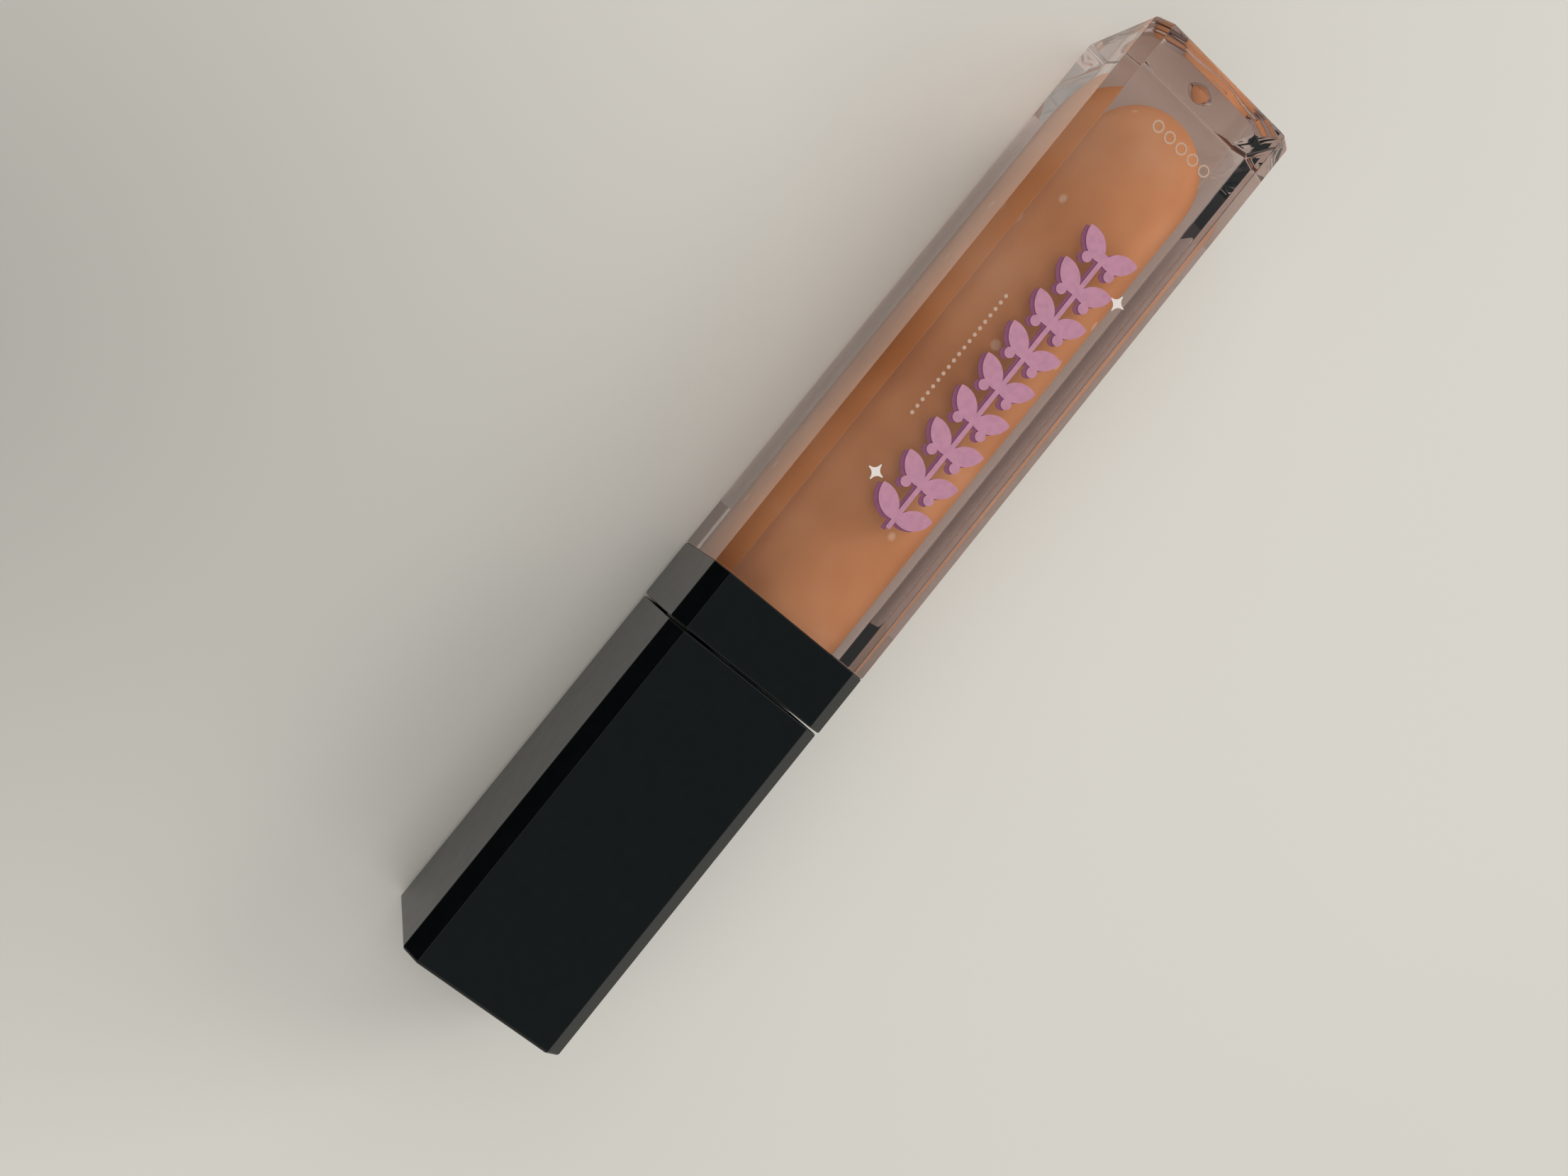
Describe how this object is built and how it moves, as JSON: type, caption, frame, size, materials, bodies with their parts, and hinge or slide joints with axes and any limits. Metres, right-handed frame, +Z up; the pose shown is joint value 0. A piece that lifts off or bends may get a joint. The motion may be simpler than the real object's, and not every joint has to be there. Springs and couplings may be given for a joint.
{
  "type": "lip gloss tube",
  "caption": "Square clear lip gloss tube with a screw cap that carries a flocked wand, a wiper in the neck and a collar, lying on its back.",
  "frame": {"origin": "middle of the tube's length and width, on the surface it lies on", "axes": "+X along the tube towards the clear base of the bottle, cap at -X; +Z up out of the decorated face"},
  "size_m": [0.115, 0.019, 0.0192],
  "materials": {
    "clear_bottle": "clear injection moulded thick-wall plastic, polished",
    "gloss": "opaque peach-tan gloss, wet",
    "soft_white_plastic": "unpigmented polyethylene",
    "black_collar": "fine satin black moulding",
    "label_film": "plain white film label, no print",
    "plum_ink": "thick printed ink",
    "pink_ink": "thick printed ink",
    "white_ink": "thick printed ink",
    "black_cap": "soft satin black moulding",
    "inner_plastic": "black moulded liner",
    "wand_plastic": "glossy black moulded stem",
    "flock": "short nylon flock stained with gloss"
  },
  "bodies": {
    "bottle": {"bottle": "clear_bottle", "gloss_fill": "gloss", "wiper": "soft_white_plastic", "collar": "black_collar", "back_label": "label_film", "print_shade": "plum_ink", "print_garland": "pink_ink", "print_marks": "white_ink"},
    "seal": {"seal_ring": "soft_white_plastic"},
    "cap": {"cap_shell": "black_cap", "cap_liner": "inner_plastic", "wand_stem": "wand_plastic", "applicator_tip": "flock"}
  },
  "joints": [
    {"name": "cap_pull", "type": "slide", "parent": "bottle", "child": "seal", "axis": [-1, 0, 0], "range_m": [0, 0.072]},
    {"name": "cap_twist", "type": "hinge", "parent": "seal", "child": "cap", "pos_m": [-0.02, 0, 0.0095], "axis": [-1, 0, 0], "range_deg": [0, 540]}
  ]
}
